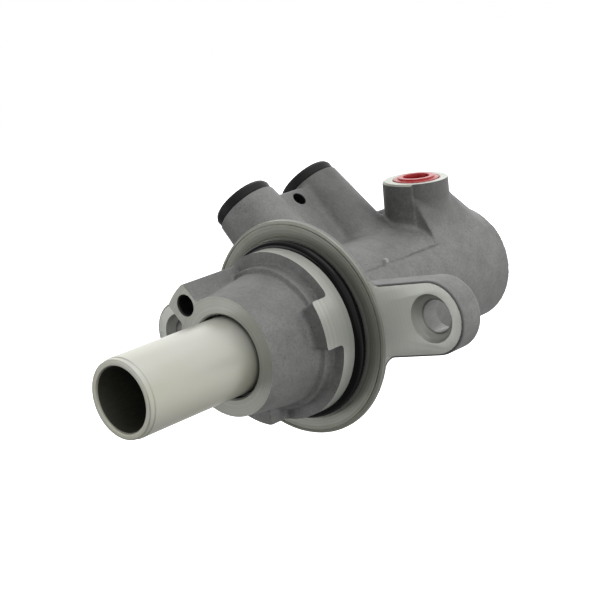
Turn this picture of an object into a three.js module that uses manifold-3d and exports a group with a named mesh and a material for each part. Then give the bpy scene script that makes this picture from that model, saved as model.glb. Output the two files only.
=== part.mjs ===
// Tandem brake master cylinder, plunger type, with a two-bolt flange.
// Millimetres, +Z up. The bore runs along Y: -Y is the open end that faces the booster,
// +Y the closed end. The origin is where the bore axis crosses the flange's mounting plane.

import * as THREE from "three";
import { ConvexGeometry } from "three/addons/geometries/ConvexGeometry.js";
import { mergeVertices } from "three/addons/utils/BufferGeometryUtils.js";
import Module from "manifold-3d";

const wasm = await Module();
wasm.setup();

// ---------------------------------------------------------------- driving dimensions

const PISTON_R = 11.9;
const BORE_R = 12.2;
const BORE_END_Y = 79;

const NOSE_Y = -31.6;
const NOSE_FRONT_R = 18.3;
const NOSE_BACK_R = 20.7;
const MOUTH_R = 12.75;
const MOUTH_DEPTH = 3;

const SPIGOT_R = 26;
const SPIGOT_FRONT_Y = -9;
const LAND_FRONT_Y = -16;
const LANDS = [
  { from: -8, to: 25 },
  { from: 230, to: 262 },
];

const PORT_ANGLE = 126;
const LOBE_R = 25.4;
const LOBE_SIDES = [-4.4, 5.7];
const CHANNEL_R = 3.05;
const CHANNEL_DISTANCE = 20.1;

const O_RING_R = 25.9;
const O_RING_WIRE_R = 1.75;
const O_RING_Y = -1.85;
const GROOVE_R = 23.9;
const GROOVE_FRONT_Y = -3.75;
const O_RING_SEAT_R = 28.2;
const O_RING_SEAT_DEPTH = 0.2;

const DISC_FACE_R = 32.5;
const DISC_R = 33.6;
const DISC_RIM_BACK_Y = 2.2;

const EAR_DISTANCE = 51.9;
const EAR_HALF_WIDTH = 11.1;
const EAR_FRONT_Y = 0.8;
const EAR_BACK_Y = 9.8;
const EAR_HOLE_R = 4.85;
const EAR_SEAT_R = 7.15;
const EAR_SEAT_DEPTH = 2.1;
const EAR_FILLET_R = 4;

const BARREL_R = 19.4;
const SKIRT_R = 19.8;
const SKIRT_TOP_Z = 11.5;
const REAR_Y = 86.2;

const PORTS = { front: 17.4, rear: 48.5 };
const PORT_TOP = 44.4;
const PORT_TOP_R = 10.4;
const PORT_BASE = 8;
const PORT_BASE_R = 13;
const PORT_SEAT_R = 8.3;
const PORT_SEAT_DEPTH = 9;
const PORT_BORE_R = 5.5;
const PORT_BORE_BOTTOM = 18.5;
const WEB_HALF = 6;
const WEB_TOP = 43;
const RIB_HALF = 4.5;
const RIB_TOP = 26.6;
const RIB_END_Y = 72;
const PIN_HOLE_R = 2.2;
const PIN_HOLE_H = 38.9;

// Flat cuts that part the casting into solids: across each ear, and under and between the ports.
const EAR_CUT = 38;
const PORT_CUT = 29;
const PORTS_CUT_Y = 36.3;

const OUTLETS = {
  rear: { angle: 81, y: 65 },
  front: { angle: 171, y: 26 },
};
const OUTLET_TOP = 33;
const OUTLET_R = 10.5;
const OUTLET_SEAT_R = 7.7;
const OUTLET_SEAT_DEPTH = 1;
const OUTLET_BORE_R = 6.2;
const OUTLET_BORE_BOTTOM = 20.5;
const DRILLING_R = 1.6;

// Grooves of the bore, front to back: [front y, back y, radius].
const CIRCLIP_GROOVE = [-27.5, -25.7, 14.6];
const GUIDE_GROOVE = [-25.1, -21.1, 13.95];
const VACUUM_GROOVE = [-19.6, -15.4, 15.6];
const PRIMARY_FEED = [-14.2, -11, 14.4];
const PRIMARY_GROOVE = [-9.8, -5.2, 15.6];
const SEPARATING_GROOVE = [40.2, 44.4, 15.6];
const SECONDARY_FEED = [46.8, 50.2, 14.4];
const SECONDARY_GROOVE = [52.6, 57.2, 15.6];

const TUBE_FRONT_Y = -73.8;
const TUBE_BACK_Y = -1;
const SOCKET_R = 9.6;
const SOCKET_BOTTOM_Y = -20;
const HOLLOW_R = 9.2;
const PRIMARY_WEB_BACK_Y = -15;
const SECONDARY_FRONT_Y = 22;
const SECONDARY_BACK_Y = 61;
const SECONDARY_RECESS_Y = 28.5;
const SECONDARY_WEB_BACK_Y = 33;

const FINE = 32;
const COARSE = 20;
const BORE_SEGMENTS = 24;

// ---------------------------------------------------------------- solids and placing

// A closed three.js geometry as a manifold-3d solid that faces outwards.
function solidOf(geometry) {
  const bare = geometry.index ? geometry.toNonIndexed() : geometry.clone();
  bare.deleteAttribute("normal");
  bare.deleteAttribute("uv");
  const merged = mergeVertices(bare, 1e-4);
  const index = merged.index.array;
  const kept = [];
  for (let i = 0; i < index.length; i += 3) {
    const [a, b, c] = [index[i], index[i + 1], index[i + 2]];
    if (a !== b && b !== c && a !== c) kept.push(a, b, c);
  }
  const build = (triVerts) =>
    new wasm.Manifold(
      new wasm.Mesh({
        numProp: 3,
        vertProperties: merged.attributes.position.array,
        triVerts: new Uint32Array(triVerts),
      }),
    );
  const made = build(kept);
  if (made.volume() > 0) return made;
  return build(kept.slice().reverse());
}

function geometryOf(solid) {
  const mesh = solid.getMesh();
  const geometry = new THREE.BufferGeometry();
  geometry.setAttribute(
    "position",
    new THREE.BufferAttribute(mesh.vertProperties.slice(), 3),
  );
  geometry.setIndex(new THREE.BufferAttribute(mesh.triVerts.slice(), 1));
  return geometry;
}

const joined = (solids) => solids.reduce((a, b) => a.add(b));
const cut = (solid, cutters) => cutters.reduce((a, b) => a.subtract(b), solid);

// Turned about the bore axis. The profile is a loop of [radius, y].
function turned(profile, segments = FINE) {
  const points = profile.map(([r, y]) => new THREE.Vector2(r, y));
  const touchesAxis = profile[0][0] === 0;
  if (!touchesAxis) points.push(points[0].clone());
  return solidOf(new THREE.LatheGeometry(points, segments));
}

const ring = (inner, outer, from, to, segments) =>
  turned([[inner, from], [outer, from], [outer, to], [inner, to]], segments);

const disc = (radius, from, to, segments) =>
  turned([[0, from], [radius, from], [radius, to], [0, to]], segments);

function direction(angle) {
  const a = THREE.MathUtils.degToRad(angle);
  return new THREE.Vector3(Math.cos(a), 0, Math.sin(a));
}

// A frame on the bore axis at y: its Y points out along the angle, its X along the bore.
function spoke(angle, y) {
  const out = direction(angle);
  const along = new THREE.Vector3(0, 1, 0);
  const side = new THREE.Vector3().crossVectors(along, out);
  return new THREE.Matrix4().makeBasis(along, out, side).setPosition(0, y, 0);
}

// Turned about a spoke. The profile is a loop of [radius, distance from the bore axis].
function spokeTurned(angle, y, profile, segments = COARSE) {
  const points = profile.map(([r, h]) => new THREE.Vector2(r, h));
  if (profile[0][0] !== 0) points.push(points[0].clone());
  const geometry = new THREE.LatheGeometry(points, segments);
  return solidOf(geometry.applyMatrix4(spoke(angle, y)));
}

const spokeRod = (angle, y, radius, from, to, segments) =>
  spokeTurned(angle, y, [[0, from], [radius, from], [radius, to], [0, to]], segments);

// A box on a spoke: extents along the bore, outwards and sideways.
function spokeBox(angle, y, [a0, a1], [h0, h1], [s0, s1]) {
  const geometry = new THREE.BoxGeometry(a1 - a0, h1 - h0, s1 - s0);
  geometry.translate((a0 + a1) / 2, (h0 + h1) / 2, (s0 + s1) / 2);
  return solidOf(geometry.applyMatrix4(spoke(angle, y)));
}

// An outline in X and Z, given depth along Y.
function plate(shape, from, to, curveSegments = 8) {
  const geometry = new THREE.ExtrudeGeometry(shape, {
    depth: to - from,
    bevelEnabled: false,
    curveSegments,
  });
  geometry.rotateX(Math.PI / 2);
  geometry.translate(0, to, 0);
  return solidOf(geometry);
}

// A rod along the bore direction, away from the bore axis.
function parallelRod(x, z, radius, from, to, segments = 20) {
  const geometry = new THREE.CylinderGeometry(radius, radius, to - from, segments);
  geometry.translate(x, (from + to) / 2, z);
  return solidOf(geometry);
}

// ---------------------------------------------------------------- cylinder body

function ringSector(inner, outer, from, to) {
  const [a, b] = [THREE.MathUtils.degToRad(from), THREE.MathUtils.degToRad(to)];
  const shape = new THREE.Shape();
  shape.absarc(0, 0, outer, a, b, false);
  shape.absarc(0, 0, inner, b, a, true);
  return shape;
}

// Flange outline: the disc and both ears, with a concave fillet where they meet.
function flangeOutline() {
  const w = EAR_HALF_WIDTH;
  const f = EAR_FILLET_R;
  const fx = Math.sqrt((DISC_R + f) ** 2 - (w + f) ** 2);
  const tangent = Math.atan2(w + f, fx);
  const half = Math.PI / 2;
  const shape = new THREE.Shape();
  shape.absarc(EAR_DISTANCE, 0, w, -half, half, false);
  shape.absarc(fx, w + f, f, -half, tangent - Math.PI, true);
  shape.absarc(0, 0, DISC_R, tangent, Math.PI - tangent, false);
  shape.absarc(-fx, w + f, f, -tangent, -half, true);
  shape.absarc(-EAR_DISTANCE, 0, w, half, 3 * half, false);
  shape.absarc(-fx, -w - f, f, half, tangent, true);
  shape.absarc(0, 0, DISC_R, Math.PI + tangent, 2 * Math.PI - tangent, false);
  shape.absarc(fx, -w - f, f, Math.PI - tangent, half, true);
  return shape;
}

function earBar() {
  const half = Math.PI / 2;
  const shape = new THREE.Shape();
  shape.absarc(EAR_DISTANCE, 0, EAR_HALF_WIDTH, -half, half, false);
  shape.absarc(-EAR_DISTANCE, 0, EAR_HALF_WIDTH, half, 3 * half, false);
  return shape;
}

// Nose, spigot with its O-ring groove, flange disc, barrel and rear section as one turning.
function turnedCore() {
  return turned([
    [0, NOSE_Y],
    [NOSE_FRONT_R - 0.5, NOSE_Y],
    [NOSE_FRONT_R, NOSE_Y + 0.5],
    [NOSE_BACK_R, SPIGOT_FRONT_Y - 2],
    [NOSE_BACK_R + 1.3, SPIGOT_FRONT_Y],
    [SPIGOT_R - 0.4, SPIGOT_FRONT_Y],
    [SPIGOT_R, SPIGOT_FRONT_Y + 0.4],
    [SPIGOT_R, GROOVE_FRONT_Y],
    [GROOVE_R, GROOVE_FRONT_Y],
    [GROOVE_R, O_RING_SEAT_DEPTH],
    [O_RING_SEAT_R, O_RING_SEAT_DEPTH],
    [O_RING_SEAT_R, 0],
    [DISC_FACE_R, 0],
    [DISC_FACE_R + 0.8, 0.3],
    [DISC_R, 1],
    [DISC_R - 0.1, DISC_RIM_BACK_Y - 0.4],
    [DISC_R - 1.4, DISC_RIM_BACK_Y + 0.7],
    [28, 5.4],
    [22.5, 8.4],
    [BARREL_R, 12.5],
    [BARREL_R, REAR_Y - 0.6],
    [BARREL_R - 0.6, REAR_Y],
    [0, REAR_Y],
  ]);
}

function noseLobe() {
  const slab = spokeBox(PORT_ANGLE, 0, [NOSE_Y, SPIGOT_FRONT_Y + 1], [14, 27], [
    -LOBE_SIDES[1],
    -LOBE_SIDES[0],
  ]);
  return slab.intersect(disc(LOBE_R, NOSE_Y, SPIGOT_FRONT_Y + 2));
}

// The lower half of the barrel is a little fuller, up to the parting line.
function barrelSkirt() {
  const box = new THREE.BoxGeometry(60, 100, 40);
  box.translate(0, REAR_Y - 50.6, SKIRT_TOP_Z - 20);
  return disc(SKIRT_R, 8, REAR_Y).intersect(solidOf(box));
}

function reservoirPort(y) {
  return spokeTurned(PORT_ANGLE, y, [
    [0, PORT_BASE],
    [PORT_BASE_R, PORT_BASE],
    [PORT_TOP_R + 0.1, PORT_TOP - 1],
    [PORT_TOP_R - 0.4, PORT_TOP],
    [0, PORT_TOP],
  ]);
}

function reservoirWeb() {
  return spokeBox(
    PORT_ANGLE,
    0,
    [PORTS.front, PORTS.rear],
    [PORT_BASE, WEB_TOP],
    [-WEB_HALF, WEB_HALF],
  );
}

// Low rib that runs from the rear port towards the closed end.
function rearRib() {
  return spokeBox(
    PORT_ANGLE,
    0,
    [PORTS.rear, RIB_END_Y],
    [PORT_BASE, RIB_TOP],
    [-RIB_HALF, RIB_HALF],
  );
}

const outletBoss = ({ angle, y }) =>
  spokeTurned(angle, y, [
    [0, 6],
    [OUTLET_R + 0.4, 6],
    [OUTLET_R, OUTLET_TOP - 0.6],
    [OUTLET_R - 0.6, OUTLET_TOP],
    [0, OUTLET_TOP],
  ]);

// Gusset that carries the rear outlet boss into the rear section of the barrel.
function outletGusset() {
  const sections = [
    [56, [[1, 26], [9.9, 26.2], [11.2, 22], [13.9, 17], [15.6, 12], [0, 8], [-10, 12]]],
    [74.5, [[0, 27], [9.6, 26.2], [12.8, 21.5], [15.4, 15.5], [17.2, 9], [0, 8], [-10, 12]]],
    [84.9, [[-6, 17.9], [7.6, 17.6], [13.2, 13.6], [16.4, 9], [0, 8], [-10, 14]]],
  ];
  const points = sections.flatMap(([y, outline]) =>
    outline.map(([x, z]) => new THREE.Vector3(x, y, z)),
  );
  return solidOf(new ConvexGeometry(points));
}

function boreCutters() {
  const grooves = [
    CIRCLIP_GROOVE,
    GUIDE_GROOVE,
    VACUUM_GROOVE,
    PRIMARY_FEED,
    PRIMARY_GROOVE,
    SEPARATING_GROOVE,
    SECONDARY_FEED,
    SECONDARY_GROOVE,
  ];
  const profile = [
    [0, NOSE_Y - 1],
    [MOUTH_R, NOSE_Y - 1],
    [MOUTH_R, NOSE_Y + MOUTH_DEPTH],
    [BORE_R, NOSE_Y + MOUTH_DEPTH],
  ];
  for (const [front, back, radius] of grooves) {
    profile.push([BORE_R, front], [radius, front], [radius, back], [BORE_R, back]);
  }
  profile.push([BORE_R, BORE_END_Y], [0, BORE_END_Y]);
  return turned(profile, BORE_SEGMENTS);
}

function portCutters(y) {
  return [
    spokeRod(PORT_ANGLE, y, PORT_SEAT_R, PORT_TOP - PORT_SEAT_DEPTH, PORT_TOP + 1),
    spokeRod(PORT_ANGLE, y, PORT_BORE_R, PORT_BORE_BOTTOM, PORT_TOP),
  ];
}

function outletCutters({ angle, y }) {
  return [
    spokeRod(angle, y, OUTLET_SEAT_R, OUTLET_TOP - OUTLET_SEAT_DEPTH, OUTLET_TOP + 1),
    spokeRod(angle, y, OUTLET_BORE_R, OUTLET_BORE_BOTTOM, OUTLET_TOP),
    spokeRod(angle, y, DRILLING_R, 10, OUTLET_BORE_BOTTOM + 1, 10),
  ];
}

function earCutters() {
  return [-EAR_DISTANCE, EAR_DISTANCE].flatMap((x) => [
    parallelRod(x, 0, EAR_HOLE_R, EAR_FRONT_Y - 2, EAR_BACK_Y + 2, 24),
    parallelRod(x, 0, EAR_SEAT_R, EAR_FRONT_Y - 2, EAR_FRONT_Y + EAR_SEAT_DEPTH, 24),
  ]);
}

function feedCutters() {
  const { x, z } = direction(PORT_ANGLE).multiplyScalar(CHANNEL_DISTANCE);
  const primaryFeedY = (PRIMARY_FEED[0] + PRIMARY_FEED[1]) / 2;
  return [
    parallelRod(x, z, CHANNEL_R, NOSE_Y - 1, PORTS.front - 2),
    spokeRod(PORT_ANGLE, primaryFeedY, DRILLING_R - 0.4, 13, CHANNEL_DISTANCE, 10),
    spokeRod(PORT_ANGLE, PORTS.rear, DRILLING_R, 13, PORT_BORE_BOTTOM + 1, 10),
  ];
}

function pinHole() {
  const middle = (PORTS.front + PORTS.rear) / 2 + 0.3;
  const geometry = new THREE.CylinderGeometry(PIN_HOLE_R, PIN_HOLE_R, 40, 16);
  geometry.rotateX(Math.PI / 2);
  geometry.translate(0, PIN_HOLE_H, 0);
  return solidOf(geometry.applyMatrix4(spoke(PORT_ANGLE, middle)));
}

function casting() {
  const cast = joined([
    turnedCore(),
    ...LANDS.map(({ from, to }) =>
      plate(ringSector(16, SPIGOT_R, from, to), LAND_FRONT_Y, SPIGOT_FRONT_Y + 1),
    ),
    noseLobe(),
    plate(flangeOutline(), EAR_FRONT_Y, DISC_RIM_BACK_Y),
    plate(earBar(), EAR_FRONT_Y, EAR_BACK_Y),
    barrelSkirt(),
    reservoirPort(PORTS.front),
    reservoirPort(PORTS.rear),
    reservoirWeb(),
    rearRib(),
    outletGusset(),
    ...Object.values(OUTLETS).map(outletBoss),
  ]);
  return cut(cast, [
    boreCutters(),
    ...Object.values(PORTS).flatMap(portCutters),
    ...Object.values(OUTLETS).flatMap(outletCutters),
    ...earCutters(),
    ...feedCutters(),
    pinHole(),
  ]);
}

// The blocks of space in which the casting is a solid of its own, up to flat cuts.
function castingBlocks() {
  const port = (from, to) =>
    spokeBox(PORT_ANGLE, 0, [from, to], [PORT_CUT, PORT_TOP + 2], [-12, 12]);
  const ear = (x) => {
    const box = new THREE.BoxGeometry(30, 20, 30);
    box.translate(x, EAR_BACK_Y / 2, 0);
    return solidOf(box);
  };
  return {
    right_mounting_ear: ear(EAR_CUT + 15),
    left_mounting_ear: ear(-EAR_CUT - 15),
    front_reservoir_port: port(5.3, PORTS_CUT_Y),
    rear_reservoir_port: port(PORTS_CUT_Y, 70),
  };
}

// ---------------------------------------------------------------- pistons

function radialHoles(radius, y, count, from, to) {
  const holes = [];
  for (let i = 0; i < count; i += 1) {
    holes.push(spokeRod((360 / count) * i + 36, y, radius, from, to, 8));
  }
  return holes;
}

function primaryPiston() {
  const tube = turned([
    [0, SOCKET_BOTTOM_Y],
    [SOCKET_R - 0.6, SOCKET_BOTTOM_Y],
    [SOCKET_R, SOCKET_BOTTOM_Y - 0.8],
    [SOCKET_R, TUBE_FRONT_Y + 0.3],
    [SOCKET_R + 0.3, TUBE_FRONT_Y],
    [PISTON_R - 0.4, TUBE_FRONT_Y],
    [PISTON_R - 0.1, TUBE_FRONT_Y + 0.5],
    [PISTON_R - 0.1, TUBE_FRONT_Y + 2.8],
    [PISTON_R, TUBE_FRONT_Y + 3],
    [PISTON_R, TUBE_BACK_Y - 0.5],
    [PISTON_R - 0.5, TUBE_BACK_Y],
    [HOLLOW_R, TUBE_BACK_Y],
    [HOLLOW_R, PRIMARY_WEB_BACK_Y],
    [0, PRIMARY_WEB_BACK_Y],
  ]);
  return cut(tube, radialHoles(0.9, PRIMARY_FEED[1] + 0.7, 4, 8, 14));
}

function secondaryPiston() {
  const cup = turned([
    [0, SECONDARY_RECESS_Y],
    [4.4, SECONDARY_RECESS_Y],
    [4.4, SECONDARY_FRONT_Y],
    [PISTON_R - 0.5, SECONDARY_FRONT_Y],
    [PISTON_R, SECONDARY_FRONT_Y + 0.5],
    [PISTON_R, SECONDARY_BACK_Y - 0.5],
    [PISTON_R - 0.5, SECONDARY_BACK_Y],
    [HOLLOW_R, SECONDARY_BACK_Y],
    [HOLLOW_R, SECONDARY_WEB_BACK_Y],
    [0, SECONDARY_WEB_BACK_Y],
  ]);
  return cut(cup, radialHoles(0.9, SECONDARY_FEED[1] + 1.2, 4, 8, 14));
}

// Domed steel seat for the pushrod's ball end, at the bottom of the socket.
function pushrodSeat() {
  const front = SOCKET_BOTTOM_Y - 3.4;
  return turned(
    [
      [0, front + 1.6],
      [3.4, front + 1.2],
      [5.4, front],
      [8.6, front],
      [9, front + 0.4],
      [9, SOCKET_BOTTOM_Y - 1],
      [8.4, SOCKET_BOTTOM_Y - 0.3],
      [0, SOCKET_BOTTOM_Y - 0.3],
    ],
    COARSE,
  );
}

// ---------------------------------------------------------------- springs and their seats

class SpringPath extends THREE.Curve {
  constructor(radius, wire, from, to, turns) {
    super();
    Object.assign(this, { radius, wire, from, to, turns });
  }

  // The end coils lie closed, the coils between share the rest of the length.
  getPoint(t, target = new THREE.Vector3()) {
    const closed = 1;
    const turn = t * this.turns;
    const step = this.wire * 2.1;
    const low = this.from + this.wire;
    const high = this.to - this.wire;
    const free = (high - low - 2 * closed * step) / (this.turns - 2 * closed);
    let y = low + Math.min(turn, closed) * step;
    y += THREE.MathUtils.clamp(turn - closed, 0, this.turns - 2 * closed) * free;
    y += Math.max(turn - (this.turns - closed), 0) * step;
    const a = turn * 2 * Math.PI;
    return target.set(this.radius * Math.cos(a), y, this.radius * Math.sin(a));
  }
}

function spring(radius, wire, from, to, turns) {
  const section = new THREE.Shape();
  section.absarc(0, 0, wire, 0, 2 * Math.PI, false);
  return solidOf(
    new THREE.ExtrudeGeometry(section, {
      steps: Math.round(turns * 10),
      curveSegments: 3,
      bevelEnabled: false,
      extrudePath: new SpringPath(radius, wire, from, to, turns),
    }),
  );
}

const primarySpringCup = () =>
  turned(
    [
      [2.2, -14.8],
      [8.8, -14.8],
      [8.8, -11],
      [8.4, -11],
      [8.4, -13.8],
      [2.2, -13.8],
    ],
    COARSE,
  );

const captivePin = () =>
  turned(
    [
      [0, -13.5],
      [3.2, -13.5],
      [3.2, -12.3],
      [1.7, -12.3],
      [1.7, 6.7],
      [3.3, 6.7],
      [3.3, 8.6],
      [2.8, 9.1],
      [0, 9.1],
    ],
    16,
  );

const captiveSleeve = () =>
  turned(
    [
      [2.1, 5],
      [4.6, 5],
      [4.6, 20.5],
      [8.6, 20.5],
      [8.6, 21.7],
      [3.7, 21.7],
      [3.7, 6.4],
      [2.1, 6.4],
    ],
    COARSE,
  );

const secondarySpringGuide = () =>
  turned(
    [
      [0, 68],
      [4.2, 68],
      [5, 69],
      [5, 77.6],
      [8.6, 77.6],
      [8.6, 78.7],
      [0, 78.7],
    ],
    COARSE,
  );

// ---------------------------------------------------------------- seals and rings

// U-cup seal in a groove, its lips facing the closed end (+1) or the open end (-1).
function cupSeal([front, back], facing) {
  const heel = facing > 0 ? front + 0.3 : back - 0.3;
  const lip = facing > 0 ? back - 0.4 : front + 0.4;
  const root = heel + facing * 1.5;
  return turned(
    [
      [12.35, heel],
      [15.1, heel],
      [15.35, lip],
      [14.5, lip],
      [13.9, root],
      [13.5, root],
      [12.9, lip],
      [12.15, lip],
    ],
    COARSE,
  );
}

function behind([front, back, radius], amount) {
  return [front + amount, back, radius];
}

const backupRing = ([front]) => ring(12.3, 15.3, front + 0.2, front + 1, COARSE);

function circlip() {
  const [front, back] = CIRCLIP_GROOVE;
  const full = ring(12.35, 14.4, front + 0.25, back - 0.25, 30);
  return full.subtract(spokeBox(276, 0, [front - 1, back + 1], [8, 18], [-3.2, 3.2]));
}

const guideRing = () => ring(12.2, 13.7, GUIDE_GROOVE[0] + 0.2, GUIDE_GROOVE[1] - 0.2, 30);

function oRing() {
  const section = [];
  for (let i = 0; i < 8; i += 1) {
    const a = (i / 8) * 2 * Math.PI;
    section.push([O_RING_R + O_RING_WIRE_R * Math.cos(a), O_RING_Y + O_RING_WIRE_R * Math.sin(a)]);
  }
  return turned(section);
}

// ---------------------------------------------------------------- port fittings

// Rubber bush that seals the reservoir's spigot in a port: a body in the seat, a domed collar above.
function grommet(y) {
  const low = PORT_TOP - PORT_SEAT_DEPTH + 0.3;
  return spokeTurned(PORT_ANGLE, y, [
    [5.2, low],
    [7.7, low],
    [7.9, PORT_TOP + 0.3],
    [9.9, PORT_TOP + 0.3],
    [9.9, PORT_TOP + 2],
    [9.3, PORT_TOP + 2.8],
    [8.2, PORT_TOP + 3.1],
    [6.4, PORT_TOP + 3.1],
    [5.2, PORT_TOP + 2.2],
  ]);
}

// Transit plug pushed into an outlet's thread: a thin collar and a hollow stem with a closed bottom.
function transitPlug({ angle, y }) {
  return spokeTurned(
    angle,
    y,
    [
      [0, 24],
      [5, 24],
      [5.8, 25],
      [5.8, OUTLET_TOP - 0.7],
      [7.3, OUTLET_TOP - 0.7],
      [7.3, OUTLET_TOP + 0.2],
      [6.8, OUTLET_TOP + 0.5],
      [5.4, OUTLET_TOP + 0.5],
      [4.9, OUTLET_TOP],
      [4.7, 26],
      [0, 26],
    ],
    24,
  );
}

function channelPlug() {
  const { x, z } = direction(PORT_ANGLE).multiplyScalar(CHANNEL_DISTANCE);
  const geometry = new THREE.SphereGeometry(CHANNEL_R - 0.25, 10, 6);
  geometry.translate(x, -22, z);
  return solidOf(geometry);
}

// ---------------------------------------------------------------- scene graph

const material = (color, roughness, metalness) =>
  new THREE.MeshStandardMaterial({ color, roughness, metalness });

const castAluminium = material(0x8a8a88, 0.55, 0.9);
const pistonMetal = material(0xbfbfb8, 0.35, 0.9);
const steel = material(0x9a9a9a, 0.35, 1);
const springSteel = material(0x5c5d60, 0.4, 1);
const blackRubber = material(0x121212, 0.45, 0);
const matteRubber = material(0x1a1a1a, 0.8, 0);
const guidePlastic = material(0xd8d4c4, 0.5, 0);
const redPlastic = material(0xb01018, 0.3, 0);

const masterCylinder = new THREE.Group();
masterCylinder.name = "brake_master_cylinder";

function add(parent, name, solid, look) {
  const mesh = new THREE.Mesh(geometryOf(solid), look);
  mesh.name = name;
  parent.add(mesh);
}

const housing = new THREE.Group();
const whole = casting();
const blocks = castingBlocks();
add(housing, "cylinder_body", cut(whole, Object.values(blocks)), castAluminium);
for (const [name, block] of Object.entries(blocks)) {
  add(housing, name, whole.intersect(block), castAluminium);
}
add(housing, "spigot_o_ring", oRing(), blackRubber);
add(housing, "retaining_circlip", circlip(), springSteel);
add(housing, "piston_guide_ring", guideRing(), guidePlastic);
add(housing, "vacuum_seal", cupSeal(VACUUM_GROOVE, 1), blackRubber);
add(housing, "primary_backup_ring", backupRing(PRIMARY_GROOVE), guidePlastic);
add(housing, "primary_pressure_seal", cupSeal(behind(PRIMARY_GROOVE, 0.8), 1), blackRubber);
add(housing, "separating_seal", cupSeal(SEPARATING_GROOVE, -1), blackRubber);
add(housing, "secondary_backup_ring", backupRing(SECONDARY_GROOVE), guidePlastic);
add(housing, "secondary_pressure_seal", cupSeal(behind(SECONDARY_GROOVE, 0.8), 1), blackRubber);
add(housing, "secondary_spring_guide", secondarySpringGuide(), guidePlastic);
add(housing, "feed_channel_plug", channelPlug(), steel);
add(housing, "front_reservoir_grommet", grommet(PORTS.front), matteRubber);
add(housing, "rear_reservoir_grommet", grommet(PORTS.rear), matteRubber);
add(housing, "front_outlet_plug", transitPlug(OUTLETS.front), redPlastic);
add(housing, "rear_outlet_plug", transitPlug(OUTLETS.rear), redPlastic);
masterCylinder.add(housing);

const primary = new THREE.Group();
add(primary, "primary_piston", primaryPiston(), pistonMetal);
add(primary, "pushrod_seat", pushrodSeat(), steel);
add(primary, "primary_spring_cup", primarySpringCup(), steel);
add(primary, "captive_pin", captivePin(), steel);
add(primary, "primary_return_spring", spring(7, 1.1, -13.6, 20.3, 6.5), springSteel);
masterCylinder.add(primary);

const secondary = new THREE.Group();
add(secondary, "secondary_piston", secondaryPiston(), pistonMetal);
add(secondary, "captive_sleeve", captiveSleeve(), steel);
add(secondary, "secondary_return_spring", spring(7.2, 1.1, 33.2, 77.4, 8), springSteel);
masterCylinder.add(secondary);

export default masterCylinder;
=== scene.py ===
"""Tandem brake master cylinder, plunger type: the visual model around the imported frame.

The shape sizes below are in millimetres, in the part's own frame: the bore runs along Y, -Y is the
open end that faces the booster, +Z is up, and the flange's mounting face lies at y = 0.
"""

import math

import bmesh
import bpy
import numpy as np
from mathutils import Matrix, Vector


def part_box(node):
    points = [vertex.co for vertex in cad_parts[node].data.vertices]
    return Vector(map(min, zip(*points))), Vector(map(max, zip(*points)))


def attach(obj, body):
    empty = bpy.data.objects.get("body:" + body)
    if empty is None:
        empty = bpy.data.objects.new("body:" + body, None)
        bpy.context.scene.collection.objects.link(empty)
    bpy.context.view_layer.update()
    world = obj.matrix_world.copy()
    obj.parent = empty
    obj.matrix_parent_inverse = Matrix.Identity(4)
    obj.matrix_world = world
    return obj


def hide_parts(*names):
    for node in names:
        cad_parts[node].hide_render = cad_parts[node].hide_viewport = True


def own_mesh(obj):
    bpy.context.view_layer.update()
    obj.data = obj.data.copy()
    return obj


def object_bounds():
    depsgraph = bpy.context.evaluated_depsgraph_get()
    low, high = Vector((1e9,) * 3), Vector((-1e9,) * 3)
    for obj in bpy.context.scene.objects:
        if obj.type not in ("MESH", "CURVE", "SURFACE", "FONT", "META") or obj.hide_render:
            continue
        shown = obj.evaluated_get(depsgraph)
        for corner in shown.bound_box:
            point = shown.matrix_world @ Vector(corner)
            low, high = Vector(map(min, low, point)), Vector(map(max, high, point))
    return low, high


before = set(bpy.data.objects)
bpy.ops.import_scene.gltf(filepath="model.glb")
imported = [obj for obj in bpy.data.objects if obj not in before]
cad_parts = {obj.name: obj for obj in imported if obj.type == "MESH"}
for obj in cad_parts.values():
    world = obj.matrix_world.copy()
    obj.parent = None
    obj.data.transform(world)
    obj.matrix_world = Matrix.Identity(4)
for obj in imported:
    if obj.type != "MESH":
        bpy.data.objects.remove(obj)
cad_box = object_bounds()

MM = 0.001

# ---------------- driving dimensions

PISTON_R = 11.9
BORE_R = 12.2
BORE_END_Y = 79.0

NOSE_Y = -31.6
NOSE_FRONT_R = 18.3
NOSE_BACK_R = 20.6
MOUTH_R = 12.75
MOUTH_DEPTH = 3.0
LEDGE_R = 22.0
LEDGE_Y = -12.7
SPIGOT_R = 26.0
SPIGOT_FRONT_Y = -9.0
LAND_FRONT_Y = -16.0
LANDS = [(-8.0, 25.0), (230.0, 262.0)]  # from angle, to angle
LAND_FOOT = 14

PORT_ANGLE = 126.0
LOBE_R = 25.4
LOBE_SIDES = (-5.7, 4.4)
LOBE_FOOT = 12  # a FOOT is how far from the bore axis a shape starts
CHANNEL_R = 3.05
CHANNEL_DISTANCE = 20.1
CHANNEL_END_Y = 15.4
CHANNEL_BALL_Y = -22

GROOVE_R = 23.9
GROOVE_FRONT_Y = -3.75
O_RING_SEAT_R = 28.2
O_RING_SEAT_DEPTH = 0.2
O_RING_R = 26.0
O_RING_WIRE_R = 1.9
O_RING_Y = -1.85

DISC_FACE_R = 32.5
DISC_R = 33.6
RIM_GROOVE_DEPTH = 0.35
EAR_DISTANCE = 51.9
EAR_R = 11.1
EAR_FRONT_Y = 0.8
EAR_CAST_FRONT_Y = 0.7
EAR_BACK_Y = 9.8
EAR_HOLE_R = 4.85
EAR_SEAT_R = 7.15
EAR_SEAT_DEPTH = 2.1

BARREL_R = 19.4
SKIRT_R = 19.8
SKIRT_TOP_Z = 11.5
REAR_Y = 86.2

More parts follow.
